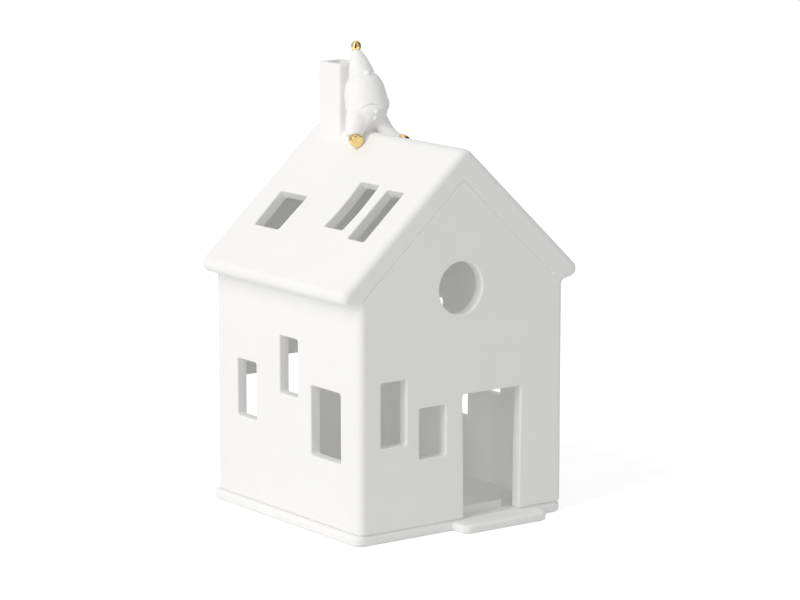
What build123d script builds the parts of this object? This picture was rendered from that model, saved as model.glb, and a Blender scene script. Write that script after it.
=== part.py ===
from build123d import *
import math
import os

# Porcelain tealight house: a hollow gabled house that stands loose on its own base plate,
# with a flue and a little seated figure on the ridge.
# Millimetres, +Z up. The door looks along -Y and the side wall with three windows along -X.
# The origin is on the underside of the base plate, under the middle of the four walls.

# Base plate: one casting with the door step in front and the raised seat inside.
plate_width = 91.8
plate_depth = 92.0
plate_thickness = 3.9
plate_corner = 3.8
plate_edge = 1.5
plate_shift_x = -0.6
plate_shift_y = 0.9

step_width = 38.0
step_reach = 7.2
step_thickness = 3.2
step_centre_x = 14.4
step_corner = 3.4
step_edge = 1.1

seat_width = 47.0
seat_height = 2.6
seat_play = 1.3
seat_corner = 1.6
seat_edge = 0.7

# House shell: four walls and two gables.
house_width = 90.0
house_depth = 90.0
wall_thickness = 4.0
wall_height = 80.9
outer_edge = 2.6
inner_corner = 2.0
foot_edge = 1.0

# Roof: two slopes, its heights measured up from the top of the side walls.
roof_rise = 52.6
ridge_offset = 1.2
ridge_radius = 4.6
eave_overhang = 6.6
eave_rise = 1.4
eave_nose = 3.9
eave_radius_share = 0.72
cove_radius = 1.8
roof_thickness = 3.8
roof_seat_rise = 0.4
roof_seat_turn = 2.0

# Incised line where the roof meets the gables, from near the left corner to short of the right one.
groove_width = 0.9
groove_left_end = 1.6
groove_right_end = 5.0

# Openings: sizes are lengths, places are shares of the wall that the opening is cut in.
mouth_edge = 0.6
window_corner = 0.8

door_width = 24.6
door_height = 45.0
door_lean = 0.7
door_centre_share = 0.642

front_tall_width = 10.9
front_tall_height = 23.2
front_low_width = 11.5
front_low_height = 18.2
round_window_diameter = 18.8

left_rear_width = 12.2
left_rear_height = 21.0
left_middle_width = 11.3
left_middle_height = 20.8
left_front_width = 18.1
left_front_height = 25.0

right_window_width = 11.0
right_window_height = 20.8
back_window_width = 11.0
back_window_height = 21.5

# Along the wall from its -X or +Y end, and up from the plate to the eave, to the opening's middle.
front_tall_shares = (0.164, 0.516)
front_low_shares = (0.351, 0.411)
round_window_shares = (0.487, 1.029)
left_rear_shares = (0.222, 0.502)
left_middle_shares = (0.519, 0.660)
left_front_shares = (0.772, 0.450)
right_window_places_shares = ((0.195, 0.676), (0.369, 0.402), (0.588, 0.547))
back_window_places_shares = ((0.162, 0.386), (0.367, 0.454))

# Skylights in the left slope: along the roof from its back end, and down the slope from the ridge.
rear_skylight_width = 15.2
rear_skylight_length = 16.4
rear_skylight_taper = 0.9
middle_skylight_width = 11.1
middle_skylight_length = 21.6
middle_skylight_bow = 0.9
front_skylight_width = 9.9
front_skylight_length = 23.3
rear_skylight_shares = (0.234, 0.604)
middle_skylight_shares = (0.630, 0.487)
front_skylight_shares = (0.813, 0.514)

# Flue on the ridge, near the back.
flue_width = 11.0
flue_depth = 13.0
flue_rise = 22.1
flue_wall = 2.1
flue_corner = 1.3
flue_lip = 0.7
flue_back_gap = 7.4

# Seated figure in front of the flue: heights measured up from the ridge top, radii of round forms.
figure_gap = 10.2
figure_turn = 8.0
body_radius = 7.3
body_height = 12.4
body_sink = 0.1
jacket_radius = 8.0
jacket_foot_height = 6.4
jacket_height = 14.6
jacket_lean = 14.5
hem_height = 7.7
hem_tilt = 5.0
hem_arch_radius = 4.6
hem_arch_height = 10.7
hem_arch_turn = 20.0
hat_radius = 4.7
hat_tip_radius = 1.4
hat_length = 9.6
hat_lean = 22.0
hat_seat_height = 19.8
hat_brim_edge = 0.7
bobble_radius = 2.05
bobble_sink = 0.5
nose_radius = 1.15
nose_drop = 0.4
button_radius = 0.85
button_sink = 0.25
button_heights = (5.4, 8.0)
right_thigh_radius = 4.0
left_thigh_radius = 3.4
boot_radius = 2.5
boot_length = 2.4
boot_edge = 0.7
boot_turn_out = 12.0

# Sole of each boot, from the figure's axis: across and forward. The boots lie on the slopes.
# On its way there each leg bows out to its side and up, or in and down where the bow is negative.
right_sole_across = -8.4
right_sole_forward = 5.7
right_leg_bow_out = 1.0
right_leg_bow_up = 0.4
left_sole_across = 9.3
left_sole_forward = 11.0
left_leg_bow_out = -0.6
left_leg_bow_up = -2.2

overrun = 5.0
touch = 0.02

# Values worked out from the sizes above.
half_width = house_width / 2
half_depth = house_depth / 2
inner_half_width = half_width - wall_thickness
inner_half_depth = half_depth - wall_thickness
half_roof = half_width + eave_overhang
wall_foot = plate_thickness
wall_top = wall_foot + wall_height
ridge_line = wall_top + roof_rise
eave_low = wall_top + eave_rise
eave_high = eave_low + eave_nose
eave_radius = eave_radius_share * eave_nose
left_pitch = math.atan2(ridge_line - eave_high, half_roof + ridge_offset)
right_pitch = math.atan2(ridge_line - eave_high, half_roof - ridge_offset)
left_slope_length = math.hypot(ridge_line - eave_high, half_roof + ridge_offset)
seat_apex = wall_top + roof_seat_rise + half_width * math.tan(left_pitch)
ridge_turn = (left_pitch + right_pitch) / 2
ridge_top = ridge_line - ridge_radius * (1 / math.cos(ridge_turn) - 1)
flue_centre_y = half_depth - flue_back_gap - flue_depth / 2
figure_y = flue_centre_y - flue_depth / 2 - figure_gap


def slope_face(points):
    # a closed outline in the elevation, across and up, as a face in the XZ plane
    return make_face(Polyline(*points, close=True))


def elevation_solid(face, half_length):
    # an elevation extruded alike to the front and to the back
    return extrude(Plane.XZ * face, amount=half_length, both=True)


def roof_height(x):
    # height of the outer slope over x, up to the sharp ridge
    if x < ridge_offset:
        return ridge_line - (ridge_offset - x) * math.tan(left_pitch)
    return ridge_line - (x - ridge_offset) * math.tan(right_pitch)


def seat_line(left, right):
    # points of the line on which the roof sits, side by side with the slopes over it
    return [(left, seat_apex + left * math.tan(left_pitch)), (0, seat_apex),
            (right, seat_apex - right * math.tan(right_pitch))]


def base_plate():
    # slab with soft edges, a lower step in front of the door and a raised seat for the candle
    slab_outline = Pos(plate_shift_x, plate_shift_y) * RectangleRounded(plate_width, plate_depth, plate_corner)
    slab = extrude(slab_outline, amount=plate_thickness)
    slab = fillet(rim_edges(slab, 0) + rim_edges(slab, plate_thickness), plate_edge)

    plate_front = plate_shift_y - plate_depth / 2
    step_depth = step_reach + step_corner + plate_edge
    step_centre_y = plate_front - step_reach + step_depth / 2
    step_outline = Pos(step_centre_x, step_centre_y) * Rectangle(step_width, step_depth)
    step_outline = fillet(step_outline.vertices().sort_by(Axis.Y)[:2], step_corner)
    step = extrude(step_outline, amount=step_thickness)
    front_rim = [edge for edge in step.edges() if edge.center().Y < plate_front]
    front_rim = [edge for edge in front_rim if on_height(edge, 0) or on_height(edge, step_thickness)]
    step = fillet(front_rim, step_edge)

    seat_depth = 2 * (inner_half_depth - seat_play)
    seat_outline = Pos(plate_shift_x, plate_shift_y) * RectangleRounded(seat_width, seat_depth, seat_corner)
    seat = Pos(0, 0, plate_thickness) * extrude(seat_outline, amount=seat_height)
    seat = fillet(rim_edges(seat, plate_thickness + seat_height), seat_edge)
    return slab + step + seat


def on_height(edge, height):
    box = edge.bounding_box()
    return abs(box.min.Z - height) < touch and abs(box.max.Z - height) < touch


def rim_edges(solid, height):
    return ShapeList([edge for edge in solid.edges() if on_height(edge, height)])


def house_form():
    # the whole outside of walls and roof: one elevation with rounded ridge, eaves and coves
    left_tip = (-half_roof, eave_low)
    left_top = (-half_roof, eave_high)
    right_top = (half_roof, eave_high)
    right_tip = (half_roof, eave_low)
    left_cove = (-half_width, wall_top)
    right_cove = (half_width, wall_top)
    ridge = (ridge_offset, ridge_line)
    outline = slope_face([(-half_width, wall_foot), left_cove, left_tip, left_top, ridge,
                          right_top, right_tip, right_cove, (half_width, wall_foot)])
    outline = soften(outline, [ridge], ridge_radius)
    outline = soften(outline, [left_tip, left_top, right_tip, right_top], eave_radius)
    outline = soften(outline, [left_cove, right_cove], cove_radius)
    form = elevation_solid(outline, half_depth)
    ends = [edge for edge in form.edges() if is_end_edge(edge)]
    form = fillet(ends, outer_edge)
    return fillet(rim_edges(form, wall_foot), foot_edge)


def soften(face, corners, radius):
    picked = []
    for corner in corners:
        target = Vector(corner[0], corner[1])
        picked.append(face.vertices().sort_by(lambda v: (Vector(v.X, v.Y) - target).length)[0])
    return fillet(picked, radius)


def is_end_edge(edge):
    # lies in the front or back elevation, above the foot
    box = edge.bounding_box()
    flat = box.max.Y - box.min.Y < touch
    at_end = abs(abs(edge.center().Y) - half_depth) < touch
    return flat and at_end and not on_height(edge, wall_foot)


def house_cavity():
    # the inside: straight walls and two flat slopes under the roof
    left_inner = roof_height(-inner_half_width) - roof_thickness / math.cos(left_pitch)
    right_inner = roof_height(inner_half_width) - roof_thickness / math.cos(right_pitch)
    left_line = left_inner + inner_half_width * math.tan(left_pitch)
    right_line = right_inner + inner_half_width * math.tan(right_pitch)
    apex_x = (right_line - left_line) / (math.tan(left_pitch) + math.tan(right_pitch))
    apex = (apex_x, left_line + apex_x * math.tan(left_pitch))
    outline = slope_face([(-inner_half_width, wall_foot - overrun), (-inner_half_width, left_inner), apex,
                          (inner_half_width, right_inner), (inner_half_width, wall_foot - overrun)])
    cavity = elevation_solid(outline, inner_half_depth)
    return fillet(cavity.edges().filter_by(Axis.Z), inner_corner)


def wall_cutter(plane, outline):
    # a straight cut through one wall, from just outside it to just inside it
    inward = extrude(plane * outline, amount=-(wall_thickness + inner_corner))
    outward = extrude(plane * outline, amount=overrun)
    return inward + outward


def window_outline(width, height):
    return RectangleRounded(width, height, window_corner)


def cut_opening(shell, cutter, plane):
    # the cut, with its outer mouth softened
    opened = shell - cutter
    reach = cutter.bounding_box()
    mouth = [edge for edge in opened.edges() if lies_on(edge, plane) and lies_within(edge, reach)]
    return fillet(mouth, mouth_edge)


def lies_on(edge, plane):
    spots = [edge.position_at(share) for share in (0, middle_share, 1)]
    return all(abs((spot - plane.origin).dot(plane.z_dir)) < touch for spot in spots)


def lies_within(edge, reach):
    box = edge.bounding_box()
    low = all(a > b - touch for a, b in zip(box.min, reach.min))
    high = all(a < b + touch for a, b in zip(box.max, reach.max))
    return low and high


middle_share = 0.5

# The outer faces of the walls, with X running along the wall and Y up.
front_plane = Plane(origin=(-half_width, -half_depth, wall_foot), x_dir=(1, 0, 0), z_dir=(0, -1, 0))
back_plane = Plane(origin=(-half_width, half_depth, wall_foot), x_dir=(1, 0, 0), z_dir=(0, 1, 0))
left_plane = Plane(origin=(-half_width, half_depth, wall_foot), x_dir=(0, -1, 0), z_dir=(-1, 0, 0))
right_plane = Plane(origin=(half_width, half_depth, wall_foot), x_dir=(0, -1, 0), z_dir=(1, 0, 0))
slope_plane = Plane(origin=(ridge_offset, half_depth, ridge_line), x_dir=(0, -1, 0),
                    z_dir=(-math.sin(left_pitch), 0, math.cos(left_pitch)))


def placed(outline, length, shares, rise_sign=1):
    # the outline at its share of the wall's length and of its height; the back wall's Y runs down
    return Pos(length * shares[0], rise_sign * wall_height * shares[1]) * outline


def cut_wall_openings(shell):
    front = [placed(window_outline(front_tall_width, front_tall_height), house_width, front_tall_shares),
             placed(window_outline(front_low_width, front_low_height), house_width, front_low_shares),
             placed(Circle(round_window_diameter / 2), house_width, round_window_shares)]
    left = [placed(window_outline(left_rear_width, left_rear_height), house_depth, left_rear_shares),
            placed(window_outline(left_middle_width, left_middle_height), house_depth, left_middle_shares),
            placed(window_outline(left_front_width, left_front_height), house_depth, left_front_shares)]
    right = [placed(window_outline(right_window_width, right_window_height), house_depth, place, -1)
             for place in right_window_places_shares]
    back = [placed(window_outline(back_window_width, back_window_height), house_width, place, -1)
            for place in back_window_places_shares]
    for plane, outlines in ((front_plane, front), (left_plane, left), (right_plane, right), (back_plane, back)):
        for outline in outlines:
            shell = cut_opening(shell, wall_cutter(plane, outline), plane)
    return shell


def cut_door(shell):
    # the doorway is open down to the plate and a little wider at its head
    centre = house_width * door_centre_share
    half_foot = door_width / 2
    half_head = half_foot + door_lean
    outline = slope_face([(centre - half_foot, -overrun), (centre - half_head, door_height),
                          (centre + half_head, door_height), (centre + half_foot, -overrun)])
    head = outline.vertices().sort_by(Axis.Y)[-2:]
    outline = fillet(head, window_corner)
    return cut_opening(shell, wall_cutter(front_plane, outline), front_plane)


def cut_skylights(shell):
    # cut square to the slope: a tapered one, one with bowed sides and a slim one
    rear = skylight_outline(rear_skylight_width, rear_skylight_length, rear_skylight_taper, 0)
    middle = skylight_outline(middle_skylight_width, middle_skylight_length, 0, middle_skylight_bow)
    front = skylight_outline(front_skylight_width, front_skylight_length, 0, 0)
    cuts = ((rear, rear_skylight_shares), (middle, middle_skylight_shares), (front, front_skylight_shares))
    down = -1 if slope_plane.y_dir.Z > 0 else 1
    for outline, shares in cuts:
        place = Pos(house_depth * shares[0], down * left_slope_length * shares[1])
        inward = extrude(slope_plane * place * outline, amount=-(roof_thickness + overrun))
        outward = extrude(slope_plane * place * outline, amount=overrun)
        shell = cut_opening(shell, inward + outward, slope_plane)
    return shell


def skylight_outline(width, length, taper, bow):
    # four corners; the ridge side is wider by the taper, and both long sides bow the same way
    ridge_side = 1 if slope_plane.y_dir.Z > 0 else -1
    top = ridge_side * length / 2
    wide = width / 2 + taper
    narrow = width / 2
    corners = [(-narrow, -top), (-wide, top), (wide, top), (narrow, -top)]
    sides = Line(corners[1], corners[2]) + Line(corners[3], corners[0])
    if bow:
        sides += ThreePointArc(corners[0], (-narrow + bow, 0), corners[1])
        sides += ThreePointArc(corners[2], (narrow + bow, 0), corners[3])
    else:
        sides += Line(corners[0], corners[1]) + Line(corners[2], corners[3])
    outline = make_face(sides)
    return fillet(outline.vertices(), window_corner)


def flue_bore():
    # the flue's inside, which runs down through the ridge into the house
    bore_width = flue_width - 2 * flue_wall
    bore_depth = flue_depth - 2 * flue_wall
    foot = seat_apex - roof_thickness - overrun
    bore = extrude(RectangleRounded(bore_width, bore_depth, flue_corner), amount=flue_top() + overrun - foot)
    return Pos(ridge_offset, flue_centre_y, foot) * bore


def flue_top():
    return ridge_line + flue_rise


def gable_grooves():
    # a round-bottomed line along the seat, front and back
    points = seat_line(groove_left_end - half_width, half_width - groove_right_end)
    grooves = []
    for end in (-half_depth, half_depth):
        path = FilletPolyline(*[(x, end, z) for x, z in points], radius=roof_seat_turn)
        section = Plane(origin=path @ 0, z_dir=path % 0) * Circle(groove_width / 2)
        grooves.append(sweep(section, path=path))
    return grooves


def split_house(shell):
    # walls and roof part on the seat line, so the two fit face to face
    wide = half_roof + overrun
    low = wall_foot - overrun
    left, apex, right = seat_line(-wide, wide)
    below = slope_face([(-wide, low), left, apex, right, (wide, low)])
    below = elevation_solid(soften(below, [apex], roof_seat_turn), half_depth + overrun)
    return shell & below, shell - below


def chimney(form):
    # a hollow square flue cut to sit on both slopes
    stack = extrude(RectangleRounded(flue_width, flue_depth, flue_corner), amount=flue_top() - seat_apex)
    stack = Pos(ridge_offset, flue_centre_y, seat_apex) * stack
    stack = fillet(rim_edges(stack, flue_top()), flue_lip)
    return stack - flue_bore() - form


# Round profiles of the figure, as shares of each piece's radius and height.
body_shares = ((0.66, 0.13), (0.93, 0.36), (1.0, 0.58), (0.84, 0.82))
jacket_shares = ((0.97, 0.0), (1.0, 0.09), (0.97, 0.28), (0.92, 0.48), (0.83, 0.68), (0.68, 0.85), (0.45, 1.0))
hat_shares = ((1.0, 0.0), (0.8, 0.38), (0.63, 0.57), (0.41, 0.77), (0.16, 0.92), (0.0, 1.0))

# Hip, as shares of the body's radius and height; along the leg, the share of its way, bow and thigh radius.
hip_shares = (0.54, 0.53)
leg_shares = ((0.0, 0.0, 0.82), (0.33, 0.7, 1.0), (0.66, 1.0, 0.88), (1.0, 0.0, 0.64))


def figure_place(across, forward, up):
    return Pos(ridge_offset + across, figure_y - forward, ridge_top + up)


def lathe(side, place):
    # a round form whose side runs up from the foot, closed at both ends
    low, high = side @ 0, side @ 1
    profile = make_face(side + Polyline((high.X, high.Y), (0, high.Y), (0, low.Y), (low.X, low.Y)))
    return place * revolve(Plane.XZ * profile, Axis.Z)


def body_side():
    points = [(body_radius * a, body_height * b) for a, b in body_shares]
    return Spline((0, -body_sink), *points, (0, body_height), tangents=((1, 0), (-1, 0)))


def gnome_body(form):
    # the seated lower body: a round egg whose underside follows the ridge
    profile = make_face(body_side() + Line((0, body_height), (0, -body_sink)))
    return figure_place(0, 0, 0) * revolve(Plane.XZ * profile, Axis.Z) - form


def gnome_jacket(body):
    # a bell that leans back over the body, open below in front where its hem arches over the belly
    side = Spline(*[(jacket_radius * a, jacket_height * b) for a, b in jacket_shares])
    bell = lathe(side, figure_place(0, 0, jacket_foot_height) * Rot(-jacket_lean, 0, 0))
    skirt = figure_place(0, 0, hem_height) * Rot(-hem_tilt, 0, 0)
    skirt = skirt * Pos(0, 0, -jacket_height / 2) * Cylinder(2 * jacket_radius, jacket_height)
    arch = Cylinder(hem_arch_radius, 2 * jacket_radius, rotation=(quarter_turn, 0, 0))
    arch = Rot(0, 0, -hem_arch_turn) * Pos(0, -jacket_radius, hem_arch_height - hem_arch_radius) * arch
    hat_room = hat_frame() * Pos(0, 0, hat_length / 2) * Cylinder(jacket_radius, hat_length)
    return bell - skirt - hat_room - figure_place(0, 0, 0) * arch - body


quarter_turn = 90.0


def hat_frame():
    # the hat stands on the leaning jacket
    back = (hat_seat_height - jacket_foot_height) * math.tan(math.radians(jacket_lean))
    return figure_place(0, -back, hat_seat_height) * Rot(-hat_lean, 0, 0)


def gnome_hat():
    # a pointed cap with full sides and a soft brim, flat on the neck of the jacket
    spread = hat_radius - hat_tip_radius
    side = Spline(*[(hat_tip_radius + spread * a, hat_length * b) for a, b in hat_shares])
    cap = lathe(side, hat_frame())
    brim = cap.edges().filter_by(GeomType.CIRCLE).sort_by(SortBy.RADIUS)[-1]
    return fillet(brim, hat_brim_edge)


def hat_bobble(hat):
    ball = hat_frame() * Pos(0, 0, hat_length + bobble_radius - bobble_sink) * Sphere(bobble_radius)
    return ball - hat


def gnome_nose(hat, jacket, body):
    # a round nose that looks out under the front of the brim
    ball = hat_frame() * Rot(0, 0, -figure_turn) * Pos(0, -hat_radius, -nose_drop) * Sphere(nose_radius)
    return ball - hat - jacket - body


def gnome_buttons(body, jacket):
    # two round buttons down the front of the body
    buttons = []
    for height in button_heights:
        level = Line((0, height), (2 * body_radius, height))
        reach = body_side().intersect(level).vertices()[0].X + button_sink
        ball = Rot(0, 0, -figure_turn) * Pos(0, -reach, height) * Sphere(button_radius)
        buttons.append(figure_place(0, 0, 0) * ball - body - jacket)
    return buttons


def resting_height(across, radius):
    # how far up a round form's middle is when its side lies on the slope
    pitch = left_pitch if across < 0 else right_pitch
    return roof_height(ridge_offset + across) + radius / math.cos(pitch) - ridge_top


def leg_sections(across, forward, bow_out, bow_up, thigh_radius):
    # round sections from the hip to the ankle, each square to the leg
    side = 1 if across > 0 else -1
    hip = figure_place(side * hip_shares[0] * body_radius, 0, hip_shares[1] * body_height).position
    way = boot_frame(across, forward).origin - hip
    bow = Vector(side * bow_out, 0, bow_up)
    spots = [hip + way * share + bow * bend for share, bend, _ in leg_shares]
    sections = []
    for index, spot in enumerate(spots):
        ahead = spots[min(index + 1, len(spots) - 1)] - spots[max(index - 1, 0)]
        sections.append(Plane(origin=spot, z_dir=ahead) * Circle(thigh_radius * leg_shares[index][2]))
    return sections


def boot_frame(across, forward):
    # the ankle, looking along the boot
    heading = boot_heading(1 if across > 0 else -1)
    sole = figure_place(across, forward, resting_height(across, boot_radius)).position
    return Plane(origin=sole - heading * boot_length, z_dir=heading)


def boot_heading(side):
    # boots point forward and turn out a little, along the slope
    out = math.radians(boot_turn_out)
    pitch = left_pitch if side < 0 else right_pitch
    across = side * math.sin(out)
    return Vector(across, -math.cos(out), -abs(across) * math.tan(pitch)).normalized()


def leg(sections, body, jacket, worn_boot, form):
    # a trouser leg, full at the thigh and slim at the ankle
    return loft(sections) - body - jacket - worn_boot - form


def boot(across, forward, form):
    # a round gold boot on the end of the leg
    cap = extrude(Circle(boot_radius), amount=boot_length)
    cap = fillet(rim_edges(cap, boot_length), boot_edge)
    return boot_frame(across, forward) * cap - form


def main():
    os.makedirs("parts", exist_ok=True)
    form = house_form()
    shell = form - house_cavity()
    shell = cut_door(cut_wall_openings(shell))
    shell = cut_skylights(shell) - flue_bore()
    for groove in gable_grooves():
        shell = shell - groove
    walls, roof = split_house(shell)

    body = gnome_body(form)
    jacket = gnome_jacket(body)
    hat = gnome_hat()
    right_sole = (right_sole_across, right_sole_forward)
    left_sole = (left_sole_across, left_sole_forward)
    right_boot = boot(*right_sole, form)
    left_boot = boot(*left_sole, form)
    right_leg = leg_sections(*right_sole, right_leg_bow_out, right_leg_bow_up, right_thigh_radius)
    left_leg = leg_sections(*left_sole, left_leg_bow_out, left_leg_bow_up, left_thigh_radius)
    pieces = {
        "base_plate": base_plate(),
        "house_walls": walls,
        "house_roof": roof,
        "chimney": chimney(form),
        "gnome_body": body,
        "gnome_jacket": jacket,
        "gnome_hat": hat,
        "hat_bobble": hat_bobble(hat),
        "gnome_nose": gnome_nose(hat, jacket, body),
        "gnome_buttons": Compound(children=gnome_buttons(body, jacket)),
        "gnome_right_leg": leg(right_leg, body, jacket, right_boot, form),
        "gnome_left_leg": leg(left_leg, body, jacket, left_boot, form),
        "gnome_right_boot": right_boot,
        "gnome_left_boot": left_boot,
    }
    for name, piece in pieces.items():
        export_step(piece, os.path.join("parts", name + ".step"))


main()
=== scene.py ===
import math

import bpy
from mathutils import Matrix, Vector


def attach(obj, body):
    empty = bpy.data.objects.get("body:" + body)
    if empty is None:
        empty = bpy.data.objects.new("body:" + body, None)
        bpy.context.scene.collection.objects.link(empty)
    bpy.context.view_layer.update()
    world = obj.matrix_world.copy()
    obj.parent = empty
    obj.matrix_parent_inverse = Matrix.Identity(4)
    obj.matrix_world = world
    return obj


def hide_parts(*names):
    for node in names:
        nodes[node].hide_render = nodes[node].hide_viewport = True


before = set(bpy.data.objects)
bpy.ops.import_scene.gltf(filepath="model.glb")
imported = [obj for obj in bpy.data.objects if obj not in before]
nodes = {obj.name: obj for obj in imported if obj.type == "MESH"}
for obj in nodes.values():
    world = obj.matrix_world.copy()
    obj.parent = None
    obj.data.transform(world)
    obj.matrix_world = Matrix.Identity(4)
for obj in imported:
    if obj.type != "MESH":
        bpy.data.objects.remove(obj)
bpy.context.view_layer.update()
scene = bpy.context.scene
mm = 0.001


def clearPick():
    bpy.ops.object.select_all(action="DESELECT")


print("camera")
camera = {
    "place": (-708.2, -975.9, 301.5),     # mm, on the side of the door and the three side windows
    "target": (3.4, -2.5, 76.0),
    "lens": 152.9,
    "nearestMm": 10.0,
}


def pointAt(thing, target):
    # turns a camera or a lamp to look at a place, upright
    way = Vector(target) * mm - thing.location
    thing.rotation_euler = way.to_track_quat("-Z", "Y").to_euler()


clearPick()
bpy.ops.object.camera_add(location=Vector(camera["place"]) * mm)
eye = bpy.context.object
eye.name = "photo_camera"
eye.data.lens = camera["lens"]
eye.data.clip_start = camera["nearestMm"] * mm
pointAt(eye, camera["target"])
scene.camera = eye


print("materials")


def hexColour(text):
    # an sRGB hex colour as linear numbers for a socket
    linear = []
    for at in (0, 2, 4):
        part = int(text[at:at + 2], 16) / 255
        linear.append(part / 12.92 if part <= 0.04045 else ((part + 0.055) / 1.055) ** 2.4)
    return (*linear, 1.0)


def addNode(tree, kind, settings=None, links=None):
    # one node: settings go to its sockets or properties, links say which output feeds which socket
    node = tree.nodes.new(kind)
    for key, value in (settings or {}).items():
        if isinstance(key, int) or key in node.inputs:
            node.inputs[key].default_value = value
        else:
            setattr(node, key, value)
    for key, source in (links or {}).items():
        tree.links.new(source, node.inputs[key])
    return node


def emptyTree(owner):
    # the cleared nodes of a material or a world
    owner.use_nodes = True
    owner.node_tree.nodes.clear()
    return owner.node_tree


def newMaterial(name):
    # a material with just its output and shader, and the piece's own coordinates
    material = bpy.data.materials.new(name)
    tree = emptyTree(material)
    shader = addNode(tree, "ShaderNodeBsdfPrincipled")
    addNode(tree, "ShaderNodeOutputMaterial", links={"Surface": shader.outputs["BSDF"]})
    place = addNode(tree, "ShaderNodeTexCoord").outputs["Object"]
    return material, tree, shader, place


bisque = {
    "body": "F7F7F7",             # fired porcelain, a plain white
    "shade": "F4F4F3",            # where the slip lay a little thicker
    "waveMm": 16.0,               # slow unevenness of a cast and sponged wall
    "waveDetail": 2.0,
    "waveRiseMm": 0.12,
    "waveStrength": 0.35,
    "grainMm": 0.35,              # sanded matt skin; real grit is finer, drawn so that it shows
    "grainDetail": 3.0,
    "grainRiseMm": 0.02,
    "grainStrength": 0.25,
    "roughness": (0.56, 0.70),    # from the closest to the most open grain
    "ior": 1.5,
    "specular": 0.35,
}


def bisquePorcelain():
    # slip-cast porcelain, fired unglazed and sponged: a dead matt white whose skin breaks up every shine
    material, tree, shader, place = newMaterial("bisquePorcelain")
    wave = addNode(tree, "ShaderNodeTexNoise",
                   {"Scale": 1 / (bisque["waveMm"] * mm), "Detail": bisque["waveDetail"]}, {"Vector": place})
    grain = addNode(tree, "ShaderNodeTexNoise",
                    {"Scale": 1 / (bisque["grainMm"] * mm), "Detail": bisque["grainDetail"]}, {"Vector": place})
    tone = addNode(tree, "ShaderNodeMix",
                   {"data_type": "RGBA", 6: hexColour(bisque["body"]), 7: hexColour(bisque["shade"])},
                   {0: wave.outputs["Fac"]})
    rough = addNode(tree, "ShaderNodeMapRange",
                    {"To Min": bisque["roughness"][0], "To Max": bisque["roughness"][1]},
                    {"Value": grain.outputs["Fac"]})
    slow = addNode(tree, "ShaderNodeBump",
                   {"Strength": bisque["waveStrength"], "Distance": bisque["waveRiseMm"] * mm},
                   {"Height": wave.outputs["Fac"]})
    fine = addNode(tree, "ShaderNodeBump",
                   {"Strength": bisque["grainStrength"], "Distance": bisque["grainRiseMm"] * mm},
                   {"Height": grain.outputs["Fac"], "Normal": slow.outputs["Normal"]})
    tree.links.new(tone.outputs[2], shader.inputs["Base Color"])
    tree.links.new(rough.outputs["Result"], shader.inputs["Roughness"])
    tree.links.new(fine.outputs["Normal"], shader.inputs["Normal"])
    shader.inputs["IOR"].default_value = bisque["ior"]
    shader.inputs["Specular IOR Level"].default_value = bisque["specular"]
    return material


gold = {
    "bright": "FDE4A0",
    "deep": "F0CC86",
    "strokeMm": 1.0,              # brush strokes of the lustre, drawn coarser than they are
    "strokeRun": 4.0,             # how many times longer than wide
    "strokeDetail": 4.0,
    "strokeRiseMm": 0.01,
    "strokeStrength": 0.06,
    "roughness": (0.06, 0.22),    # from a full stroke to a dry one
}


def goldLustre():
    # bright gold lustre brushed over a glazed spot and fired: a thin mirror, streaked where the brush ran dry
    material, tree, shader, place = newMaterial("goldLustre")
    along = addNode(tree, "ShaderNodeMapping", {"Scale": (1.0, 1.0, 1 / gold["strokeRun"])}, {"Vector": place})
    streak = addNode(tree, "ShaderNodeTexNoise",
                     {"Scale": 1 / (gold["strokeMm"] * mm), "Detail": gold["strokeDetail"]},
                     {"Vector": along.outputs["Vector"]})
    tone = addNode(tree, "ShaderNodeMix",
                   {"data_type": "RGBA", 6: hexColour(gold["bright"]), 7: hexColour(gold["deep"])},
                   {0: streak.outputs["Fac"]})
    rough = addNode(tree, "ShaderNodeMapRange",
                    {"To Min": gold["roughness"][0], "To Max": gold["roughness"][1]},
                    {"Value": streak.outputs["Fac"]})
    relief = addNode(tree, "ShaderNodeBump",
                     {"Strength": gold["strokeStrength"], "Distance": gold["strokeRiseMm"] * mm},
                     {"Height": streak.outputs["Fac"]})
    tree.links.new(tone.outputs[2], shader.inputs["Base Color"])
    tree.links.new(rough.outputs["Result"], shader.inputs["Roughness"])
    tree.links.new(relief.outputs["Normal"], shader.inputs["Normal"])
    shader.inputs["Metallic"].default_value = 1.0
    return material


porcelain = bisquePorcelain()
lustre = goldLustre()
goldNodes = ("hat_bobble", "gnome_right_boot", "gnome_left_boot")
for name, node in nodes.items():
    node.material_slots[0].material = lustre if name in goldNodes else porcelain


print("modelling tools")
bench = {
    "limbSteps": 12,              # spans from one station of a limb to the next
    "limbSides": 8,               # steps of a quarter round
    "upward": 0.9,                # a face whose normal rises this much is the top of its form
    "smoothing": 0.5,             # share of the way that one smoothing pass moves a point
    "mergeMm": 0.002,
    "sharpTurn": 50.0,            # degrees: an edge that turns more stays crisp
}


def pick(*pieces):
    # selects the pieces, the first one active
    clearPick()
    for piece in pieces:
        piece.select_set(True)
    bpy.context.view_layer.objects.active = pieces[0]


def pickPart(piece, kind, wanted):
    # leaves the piece in edit mode with just the wanted faces or points selected
    pick(piece)
    bpy.ops.object.mode_set(mode="EDIT")
    bpy.ops.mesh.select_mode(type=kind)
    bpy.ops.mesh.select_all(action="DESELECT")
    bpy.ops.object.mode_set(mode="OBJECT")
    for part in piece.data.polygons if kind == "FACE" else piece.data.vertices:
        part.select = wanted(part)
    bpy.ops.object.mode_set(mode="EDIT")


def addModifier(piece, kind, **settings):
    modifier = piece.modifiers.new(kind.lower(), kind)
    for key, value in settings.items():
        setattr(modifier, key, value)


def applyModifiers(piece):
    pick(piece)
    for modifier in list(piece.modifiers):
        bpy.ops.object.modifier_apply(modifier=modifier.name)


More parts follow.
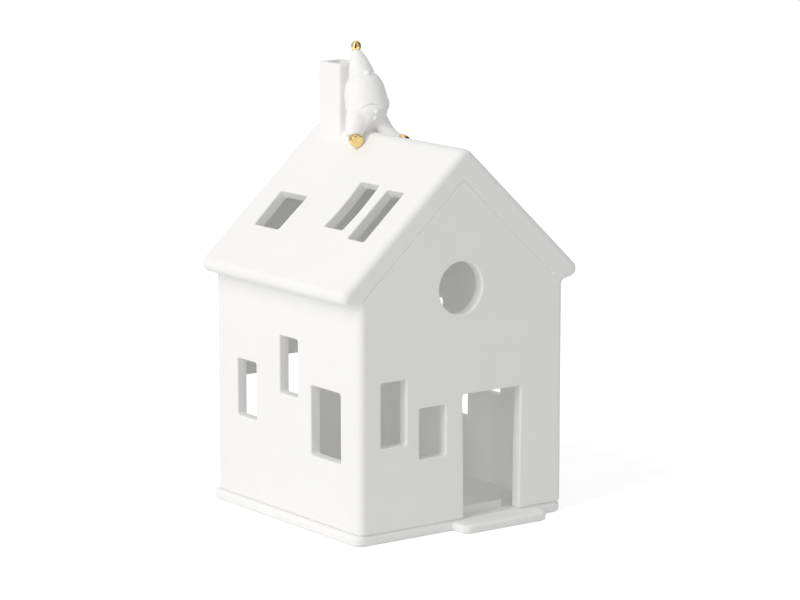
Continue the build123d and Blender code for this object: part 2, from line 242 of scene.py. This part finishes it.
def growRings(rings, sides=64):
    # a round form grown upward from a short cylinder, ring by ring: radius, height and a shift back if any
    clearPick()
    (foot, low), (radius, height) = rings[:2]
    bpy.ops.mesh.primitive_cylinder_add(vertices=sides, radius=foot, depth=height - low,
                                        location=(0, 0, (low + height) / 2))
    piece = bpy.context.object
    bpy.ops.object.transform_apply()
    pickPart(piece, "FACE", lambda face: face.normal.z > bench["upward"])
    bpy.ops.transform.resize(value=(radius / foot, radius / foot, 1), center_override=(0, 0, height))
    back = 0
    for newRadius, newHeight, *shift in rings[2:]:
        newBack = sum(shift)
        step = (0, newBack - back, newHeight - height)
        bpy.ops.mesh.extrude_region_move(TRANSFORM_OT_translate={"value": step})
        share = newRadius / radius
        bpy.ops.transform.resize(value=(share, share, 1), center_override=(0, newBack, newHeight))
        radius, height, back = newRadius, newHeight, newBack
    bpy.ops.object.mode_set(mode="OBJECT")
    return piece


def growLimb(stations):
    # a round limb as a bevelled curve through its stations, each a place and a radius, made a mesh
    clearPick()
    bpy.ops.curve.primitive_bezier_curve_add()
    curve = bpy.context.object.data
    curve.splines.clear()
    spline = curve.splines.new("BEZIER")
    spline.bezier_points.add(len(stations) - 1)
    for point, (place, radius) in zip(spline.bezier_points, stations):
        point.co = place
        point.radius = radius
        point.handle_left_type = point.handle_right_type = "AUTO"
    curve.dimensions = "3D"
    curve.resolution_u = bench["limbSteps"]
    curve.bevel_depth = 1.0
    curve.bevel_resolution = bench["limbSides"]
    curve.use_fill_caps = True
    bpy.ops.object.convert(target="MESH")
    return bpy.context.object


def growBall(radius, place, stretch=(1, 1, 1), levels=4):
    # a cube subdivided and cast to a ball, so that its faces are even all over
    clearPick()
    bpy.ops.mesh.primitive_cube_add(size=2 * radius)
    ball = bpy.context.object
    addModifier(ball, "SUBSURF", levels=levels, render_levels=levels, subdivision_type="SIMPLE")
    addModifier(ball, "CAST", cast_type="SPHERE", factor=1.0, size=radius, use_radius_as_size=False)
    applyModifiers(ball)
    ball.scale = stretch
    ball.location = place
    bpy.ops.object.transform_apply()
    return ball


def fuse(pieces, voxel, passes, blend=0):
    # joins pieces into one skin and softens every edge and crease, as slip does in a mould;
    # blend is a coarser softening before it, for the big creases
    pick(*pieces)
    if len(pieces) > 1:
        bpy.ops.object.join()
    piece = bpy.context.object
    if blend:
        addModifier(piece, "REMESH", mode="VOXEL", voxel_size=2 * voxel)
        addModifier(piece, "SMOOTH", factor=bench["smoothing"], iterations=blend)
    addModifier(piece, "REMESH", mode="VOXEL", voxel_size=voxel)
    addModifier(piece, "SMOOTH", factor=bench["smoothing"], iterations=passes)
    applyModifiers(piece)
    return piece


def roundOff(piece, levels=2):
    # rounds the rings of a form that is not fused
    addModifier(piece, "SUBSURF", levels=levels, render_levels=levels)
    applyModifiers(piece)


def handPress(piece, swell, amount):
    # the slight unevenness of a form pressed and sponged by hand: width of the swellings and their height
    texture = bpy.data.textures.new("press", "CLOUDS")
    texture.noise_scale = swell
    addModifier(piece, "DISPLACE", texture=texture, strength=amount, mid_level=0.5, texture_coords="LOCAL")
    applyModifiers(piece)
    bpy.data.textures.remove(texture)


def cutAway(piece, tool):
    # a boolean with a tool that is thrown away
    addModifier(piece, "BOOLEAN", object=tool, operation="DIFFERENCE", solver="EXACT")
    applyModifiers(piece)
    bpy.data.objects.remove(tool)


def leanBack(degrees):
    return (math.radians(-degrees), 0, 0)


def headed(way):
    # the turn that brings a piece grown upward to a heading
    return Vector(way).to_track_quat("Z", "Y").to_euler()


def setDown(piece, turn, place):
    # turns a piece and moves it to its place, both kept in the mesh
    pick(piece)
    piece.rotation_euler = turn
    piece.location = place
    bpy.ops.object.transform_apply()


def copyOf(piece):
    # another piece of the same form with its own mesh
    pick(piece)
    bpy.ops.object.duplicate(linked=False)
    return bpy.context.object


def finishPiece(piece, name, material, slot, *replaced):
    # from the bench's millimetres to metres, dressed, and in place of its CAD nodes
    pick(piece)
    piece.name = piece.data.name = name
    piece.scale = (mm, mm, mm)
    bpy.ops.object.transform_apply()
    bpy.ops.object.mode_set(mode="EDIT")
    bpy.ops.mesh.select_all(action="SELECT")
    bpy.ops.mesh.remove_doubles(threshold=bench["mergeMm"] * mm)
    bpy.ops.mesh.normals_make_consistent(inside=False)
    bpy.ops.object.mode_set(mode="OBJECT")
    bpy.ops.object.shade_smooth_by_angle(angle=math.radians(bench["sharpTurn"]))
    piece.data.materials.clear()
    piece.data.materials.append(material)
    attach(piece, "house")
    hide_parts(*replaced)
    print("made", name, len(piece.data.polygons), "faces")


print("gnome")
# its sizes are in mm; press is the width and height of a hand's swellings
gnome = {
    "axis": (1.2, 14.4),          # where it sits on the ridge
    "ridge": 135.76,
    "voxel": 0.2,
}
trousers = {
    # rings of the seat: radius, height above the ridge and, low down, a shift back
    "seatRings": (
        (1.8, -1.2), (2.4, -0.6), (3.9, 0.0, 2.6), (4.5, 1.4, 2.3), (5.0, 2.7, 1.8), (5.7, 3.8, 1.2),
        (6.3, 4.6, 0.8), (6.8, 5.5, 0.4), (7.2, 6.7, 0.1), (7.45, 8.0), (7.35, 9.2), (6.7, 10.6),
        (5.0, 11.8), (2.5, 12.4)),
    # soft swellings that join the lap to each thigh: place and radius
    "lap": (((-2.2, 11.2, 140.2), 2.6), ((4.6, 11.2, 140.2), 2.4)),
    # places and radii down each leg to the ankle
    "rightLeg": (
        ((-3.0, 15.2, 144.6), 3.7), ((-3.9, 13.7, 141.7), 4.2), ((-5.0, 12.9, 139.0), 4.0),
        ((-6.1, 12.3, 136.9), 3.6), ((-6.6, 11.8, 135.6), 3.15), ((-6.7, 11.5, 134.9), 2.85)),
    "leftLeg": (
        ((4.3, 14.25, 142.6), 3.2), ((5.65, 12.05, 138.4), 3.25), ((7.05, 9.5, 134.95), 2.9),
        ((8.6, 7.3, 133.2), 2.55), ((9.3, 6.4, 132.75), 2.4), ((9.7, 6.0, 132.65), 2.35)),
    "passes": 5,
    "blend": 20,
    "press": (3.0, 0.16),
}


def onRidge(height):
    return gnome["ridge"] + height


seatRings = [(radius, onRidge(height), *back) for radius, height, *back in trousers["seatRings"]]
seat = growRings(seatRings)
setDown(seat, leanBack(0), (*gnome["axis"], 0))
legs = [growLimb(trousers["rightLeg"]), growLimb(trousers["leftLeg"])]
lap = [growBall(radius, place) for place, radius in trousers["lap"]]
pants = fuse([seat, *legs, *lap], gnome["voxel"], trousers["passes"], trousers["blend"])
handPress(pants, *trousers["press"])
finishPiece(pants, "trousers", porcelain, "bisque_porcelain",
            "gnome_body", "gnome_right_leg", "gnome_left_leg")

jacket = {
    # rings of the bell: radius and height above its foot
    "rings": (
        (7.3, -0.6), (7.8, 0.4), (8.0, 1.5), (7.95, 2.6), (7.82, 3.6), (7.75, 5.0), (7.65, 6.6), (7.45, 8.2),
        (7.15, 9.8), (6.7, 11.2), (6.05, 12.5), (5.25, 13.6), (4.4, 14.5)),
    "sides": 96,
    "axis": (1.4, 14.25),
    "foot": 6.4,                  # above the ridge
    "lean": 14.5,                 # degrees, backward
    "hem": 7.7,                   # above the ridge, where the bell is cut off
    "hemTilt": 5.0,
    # the hem rises over the belly in an arch, turned from the front towards -X by some degrees
    "archRadius": 4.6,
    "archTop": 10.7,
    "archTurn": 20.0,
    "archDepth": 16.0,
    # the two sleeves end as soft swellings over the thighs: place and radius
    "sleeves": (((6.9, 12.2, 145.8), 2.15), ((-4.2, 14.6, 145.8), 2.7)),
    "sleeveStretch": (1, 1, 1.15),
    "passes": 6,
    "blend": 8,
    "press": (4.0, 0.2),
}
bell = growRings(jacket["rings"], jacket["sides"])
setDown(bell, leanBack(jacket["lean"]), (*jacket["axis"], onRidge(jacket["foot"])))
pick(bell)
bpy.ops.object.mode_set(mode="EDIT")
bpy.ops.mesh.select_all(action="SELECT")
tilt = math.radians(jacket["hemTilt"])
bpy.ops.mesh.bisect(plane_co=(*gnome["axis"], onRidge(jacket["hem"])),
                    plane_no=(0, math.sin(tilt), math.cos(tilt)), use_fill=True, clear_inner=True)
bpy.ops.object.mode_set(mode="OBJECT")
clearPick()
turn = math.radians(jacket["archTurn"])
front = Vector((-math.sin(turn), -math.cos(turn), 0))
centre = Vector((*gnome["axis"], onRidge(jacket["archTop"] - jacket["archRadius"])))
bpy.ops.mesh.primitive_cylinder_add(vertices=jacket["sides"], radius=jacket["archRadius"],
                                    depth=jacket["archDepth"],
                                    location=centre + front * jacket["archDepth"] / 2)
arch = bpy.context.object
arch.rotation_euler = headed(front)
bpy.context.view_layer.update()
cutAway(bell, arch)
cuffs = [growBall(radius, place, jacket["sleeveStretch"]) for place, radius in jacket["sleeves"]]
coat = fuse([bell, *cuffs], gnome["voxel"], jacket["passes"], jacket["blend"])
handPress(coat, *jacket["press"])
finishPiece(coat, "jacket", porcelain, "bisque_porcelain", "gnome_jacket")

cap = {
    # radius and height, the rolled brim first
    "rings": (
        (4.35, -0.15), (4.62, 0.15), (4.72, 0.6), (4.62, 1.1), (4.5, 1.5), (4.4, 2.0), (4.25, 2.7),
        (4.05, 3.4), (3.85, 4.1), (3.6, 4.9), (3.38, 5.6), (3.05, 6.4), (2.75, 7.1), (2.5, 7.7),
        (2.1, 8.5), (1.75, 9.1), (1.45, 9.6)),
    "place": (1.2, 17.865, 155.559),
    "lean": 22.0,
    "passes": 3,
    "press": (3.5, 0.18),
}
hat = growRings(cap["rings"])
setDown(hat, leanBack(cap["lean"]), cap["place"])
hat = fuse([hat], gnome["voxel"], cap["passes"])
handPress(hat, *cap["press"])
finishPiece(hat, "pointed_cap", porcelain, "bisque_porcelain", "gnome_hat")

bobble = {
    "radius": 2.0,
    "place": (1.5, 21.8, 165.75),
    "stretch": (0.97, 0.97, 1.09),
    "levels": 5,                  # finer than the nose, because it mirrors
    "press": (1.6, 0.08),
}
ball = growBall(bobble["radius"], bobble["place"], bobble["stretch"], bobble["levels"])
handPress(ball, *bobble["press"])
finishPiece(ball, "gold_bobble", lustre, "gold_lustre", "hat_bobble")

nose = {
    "radius": 1.2,
    "place": (0.55, 13.35, 156.95),
    "stretch": (1.08, 1, 0.92),
    "press": (1.0, 0.06),
}
tip = growBall(nose["radius"], nose["place"], nose["stretch"])
handPress(tip, *nose["press"])
finishPiece(tip, "round_nose", porcelain, "bisque_porcelain", "gnome_nose")

buttons = {
    # radius and height of a low domed button with a soft rim
    "rings": ((0.55, -0.5), (0.82, -0.15), (0.9, 0.08), (0.86, 0.26), (0.72, 0.42), (0.48, 0.54), (0.16, 0.59)),
    "sides": 32,
    # where each sits on the belly and which way it looks
    "lower": ((0.35, 8.1, 141.3), (-0.1, -1.0, -0.22)),
    "upper": ((0.2, 7.25, 143.8), (-0.1, -1.0, 0.02)),
}
knob = growRings(buttons["rings"], buttons["sides"])
roundOff(knob)
knobs = {"lower": knob, "upper": copyOf(knob)}
for level, knob in knobs.items():
    place, heading = buttons[level]
    setDown(knob, headed(heading), place)
pick(*knobs.values())
bpy.ops.object.join()
finishPiece(bpy.context.object, "two_buttons", porcelain, "bisque_porcelain", "gnome_buttons")

boots = {
    # radius and distance from the ankle: a short round boot with a soft rim and a slightly crowned sole
    "rings": ((2.1, -1.0), (2.38, -0.6), (2.5, 0.0), (2.52, 1.2), (2.48, 1.8), (2.34, 2.16), (2.1, 2.36),
              (1.5, 2.46), (0.6, 2.5)),
    "sides": 48,
    "press": (2.2, 0.08),
    # each ankle and the way its boot points
    "right": ((-6.709, 11.008, 133.671), (-0.204, -0.962, -0.183)),
    "left": ((10.01, 5.704, 132.56), (0.204, -0.960, -0.192)),
}
boot = growRings(boots["rings"], boots["sides"])
roundOff(boot)
handPress(boot, *boots["press"])
pair = {"right": boot, "left": copyOf(boot)}
for side, boot in pair.items():
    ankle, heading = boots[side]
    setDown(boot, headed(heading), ankle)
    finishPiece(boot, side + "_boot", lustre, "gold_lustre", "gnome_" + side + "_boot")


print("floor and light")
studio = {
    "floorSize": 8.0,             # metres
    "floor": "F0F0F0",
    "floorGlow": 0.5,             # added for the camera and in reflections, so that the floor shows white
    "white": "FFFFFF",
    "worldStrength": 0.55,
    "keyPlace": (-1310.0, -190.0, 950.0),     # mm
    "keyTarget": (0.0, 0.0, 70.0),            # mm
    "keySize": (0.6, 1.4),        # metres
    "keyWatts": 12.4,
    "keyColour": "FFFDFA",
    # a small lamp in the house stands in for the light that thin porcelain lets through, in mm
    "throughPlace": (12.0, 14.0, 36.0),
    "throughRadius": 18.0,
    "throughWatts": 0.0018,
    # light goes round many times between white walls
    "softBounces": 10,
    "mostBounces": 14,
}


def whiteToEye(tree):
    # 1 for rays of the camera, reflections and clear things, 0 for all other light
    seen = addNode(tree, "ShaderNodeLightPath")
    first = addNode(tree, "ShaderNodeMath", {"operation": "MAXIMUM"},
                    {0: seen.outputs["Is Camera Ray"], 1: seen.outputs["Is Glossy Ray"]})
    second = addNode(tree, "ShaderNodeMath", {"operation": "MAXIMUM"},
                     {0: first.outputs[0], 1: seen.outputs["Is Transmission Ray"]})
    return second.outputs[0]


white = hexColour(studio["white"])
clearPick()
bpy.ops.mesh.primitive_plane_add(size=studio["floorSize"], location=(0, 0, 0))
floor = bpy.context.object
floor.name = "floor"
paleFloor = bpy.data.materials.new("paleFloor")
tree = emptyTree(paleFloor)
matt = addNode(tree, "ShaderNodeBsdfDiffuse", {"Color": hexColour(studio["floor"])})
glow = addNode(tree, "ShaderNodeEmission", {"Color": white, "Strength": studio["floorGlow"]})
lit = addNode(tree, "ShaderNodeAddShader", links={0: matt.outputs[0], 1: glow.outputs[0]})
shown = addNode(tree, "ShaderNodeMixShader",
                links={0: whiteToEye(tree), 1: matt.outputs[0], 2: lit.outputs[0]})
addNode(tree, "ShaderNodeOutputMaterial", links={"Surface": shown.outputs[0]})
floor.data.materials.append(paleFloor)

scene.world = bpy.data.worlds.new("studio")
tree = emptyTree(scene.world)
dim = addNode(tree, "ShaderNodeBackground", {"Color": white, "Strength": studio["worldStrength"]})
full = addNode(tree, "ShaderNodeBackground", {"Color": white, "Strength": 1.0})
shown = addNode(tree, "ShaderNodeMixShader",
                links={0: whiteToEye(tree), 1: dim.outputs[0], 2: full.outputs[0]})
addNode(tree, "ShaderNodeOutputWorld", links={"Surface": shown.outputs[0]})

bpy.ops.object.light_add(type="AREA", location=Vector(studio["keyPlace"]) * mm)
key = bpy.context.object
key.name = "key_softbox"
key.data.shape = "RECTANGLE"
key.data.size, key.data.size_y = studio["keySize"]
key.data.energy = studio["keyWatts"]
key.data.color = hexColour(studio["keyColour"])[:3]
pointAt(key, studio["keyTarget"])

bpy.ops.object.light_add(type="POINT", location=Vector(studio["throughPlace"]) * mm)
through = bpy.context.object
through.name = "glow_through_walls"
through.data.energy = studio["throughWatts"]
through.data.shadow_soft_size = studio["throughRadius"] * mm
through.visible_camera = through.visible_glossy = False

scene.cycles.diffuse_bounces = studio["softBounces"]
scene.cycles.max_bounces = studio["mostBounces"]
scene.view_settings.view_transform = "Standard"


print("what reflections show")
# no other light sees these cards: the gold mirrors them, the porcelain's faint sheen hardly
mirrored = {
    "colour": "FFFCF7",
    # metres: a grey tent round the table
    "tentReach": 2.4,
    "tentHeight": 2.4,
    "tentSides": 72,
    "tentGlow": 0.6,
    # dark gaps in the tent, each a strip that widens outward along the floor, climbs and turns back overhead:
    # turn from the front of the house in degrees, start on the floor, width as a share of distance
    "gaps": ((50.0, 0.32, 0.8), (-66.0, 0.2, 0.7)),
    "gapReach": 1.9,
    "gapHeight": 2.1,
    "gapBack": 0.5,
    "gapLift": 0.004,             # above the floor
    "gapGlow": 0.01,
}


def onlyMirrored(card, name, level):
    # a card of one plain brightness that only reflections show
    card.name = name
    shade = bpy.data.materials.new(name)
    tree = emptyTree(shade)
    even = addNode(tree, "ShaderNodeEmission", {"Color": hexColour(mirrored["colour"]), "Strength": level})
    addNode(tree, "ShaderNodeOutputMaterial", links={"Surface": even.outputs[0]})
    card.data.materials.append(shade)
    card.visible_camera = card.visible_diffuse = card.visible_shadow = False
    card.visible_transmission = card.visible_volume_scatter = False


def pickRow(card, distance):
    # the points of a card at one distance from the house
    pickPart(card, "VERT", lambda point: math.isclose(-point.co.y, distance, abs_tol=0.01))


clearPick()
bpy.ops.mesh.primitive_cylinder_add(vertices=mirrored["tentSides"], radius=mirrored["tentReach"],
                                    depth=mirrored["tentHeight"], end_fill_type="NOTHING",
                                    location=(0, 0, mirrored["tentHeight"] / 2))
onlyMirrored(bpy.context.object, "grey_tent", mirrored["tentGlow"])

far = mirrored["gapReach"]
for number, (turnBy, near, widthShare) in enumerate(mirrored["gaps"]):
    clearPick()
    run = far - near
    bpy.ops.mesh.primitive_plane_add(size=run, location=(0, -near - run / 2, mirrored["gapLift"]))
    card = bpy.context.object
    bpy.ops.object.transform_apply()
    for distance in (near, far):
        pickRow(card, distance)
        share = distance * widthShare / run
        bpy.ops.transform.resize(value=(share, 1, 1), center_override=(0, -distance, 0))
        bpy.ops.object.mode_set(mode="OBJECT")
    pickRow(card, far)
    bpy.ops.mesh.extrude_region_move(TRANSFORM_OT_translate={"value": (0, 0, mirrored["gapHeight"])})
    bpy.ops.mesh.extrude_region_move(TRANSFORM_OT_translate={"value": (0, far - mirrored["gapBack"], 0)})
    bpy.ops.object.mode_set(mode="OBJECT")
    card.rotation_euler = (0, 0, math.radians(-turnBy))
    bpy.ops.object.transform_apply()
    onlyMirrored(card, "dark_gap_" + str(number), mirrored["gapGlow"])
